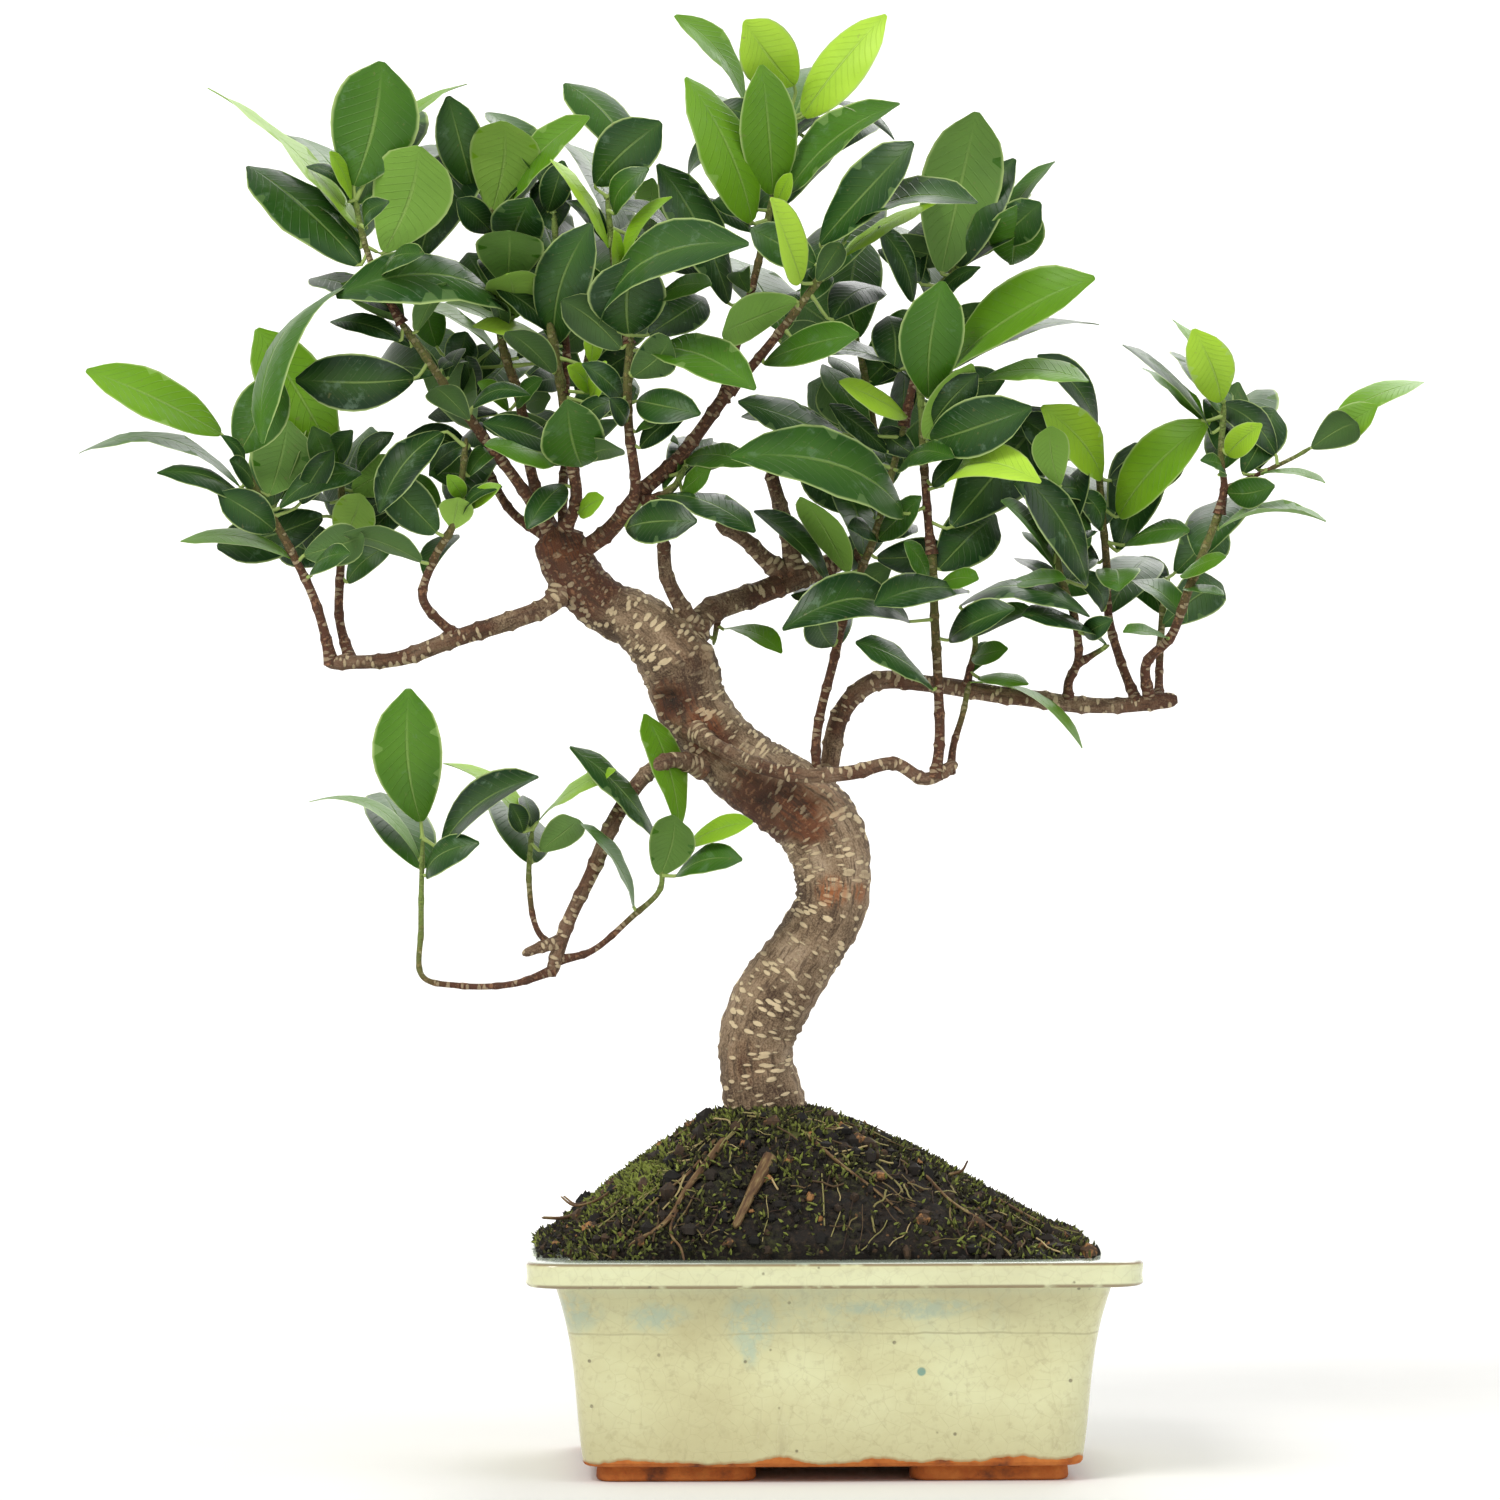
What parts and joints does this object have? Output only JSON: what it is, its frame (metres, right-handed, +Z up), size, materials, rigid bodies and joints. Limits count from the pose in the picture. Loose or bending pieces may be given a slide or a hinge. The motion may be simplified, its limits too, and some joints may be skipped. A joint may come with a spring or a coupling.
{
  "type": "bonsai tree in a pot",
  "caption": "Bonsai fig with an S-curved trunk, wired-out branches and leathery leaves, growing from a mossy soil mound in a rectangular glazed footed pot.",
  "frame": {"origin": "centre of the bounding box's footprint, on the ground under the pot", "axes": "+Z up, X along the pot's long side, -Y towards the front of the pot"},
  "size_m": [0.4296, 0.149, 0.4638],
  "materials": {
    "celadon_glaze": "glossy pale celadon glaze, bare terracotta feet",
    "screen_plastic": "moulded mesh",
    "soil_mix": "damp crumbly potting mix",
    "moss": "low cushion moss, matte",
    "bark": "grey-brown bark with pale cross dashes",
    "dry_wood": "dry root and chip",
    "leaf": "waxy leathery green leaf on a green stalk"
  },
  "bodies": {
    "root": {"branch_crown": "bark", "branch_front_low": "bark", "branch_left_lower": "bark", "branch_left_upper": "bark", "branch_right_long": "bark", "branch_right_upper": "bark", "drainage_screen_left": "screen_plastic", "drainage_screen_right": "screen_plastic", "dry_twig": "dry_wood", "moss_left_slope": "moss", "moss_right_ridge": "moss", "moss_trunk_foot": "moss", "pot": "celadon_glaze", "shoot_centre_left": "leaf", "shoot_centre_low": "leaf", "shoot_centre_right": "leaf", "shoot_centre_right_high": "leaf", "shoot_crown_front": "leaf", "shoot_crown_left": "leaf", "shoot_crown_left_top": "leaf", "shoot_crown_low": "leaf", "shoot_crown_middle": "leaf", "shoot_crown_round": "leaf", "shoot_crown_round_top": "leaf", "shoot_crown_top": "leaf", "shoot_inner": "leaf", "shoot_left_high": "leaf", "shoot_left_inner": "leaf", "shoot_left_kinked": "leaf", "shoot_left_middle": "leaf", "shoot_left_outer": "leaf", "shoot_low_left": "leaf", "shoot_low_middle": "leaf", "shoot_low_right": "leaf", "shoot_rear_centre": "leaf", "shoot_rear_crown": "leaf", "shoot_rear_left": "leaf", "shoot_right_crown": "leaf", "shoot_right_inner": "leaf", "shoot_right_low": "leaf", "shoot_right_middle": "leaf", "shoot_right_outer": "leaf", "shoot_right_rear": "leaf", "shoot_right_top": "leaf", "soil_mound": "soil_mix", "surface_root": "dry_wood", "trunk": "bark", "wood_chip": "dry_wood"}
  },
  "joints": []
}
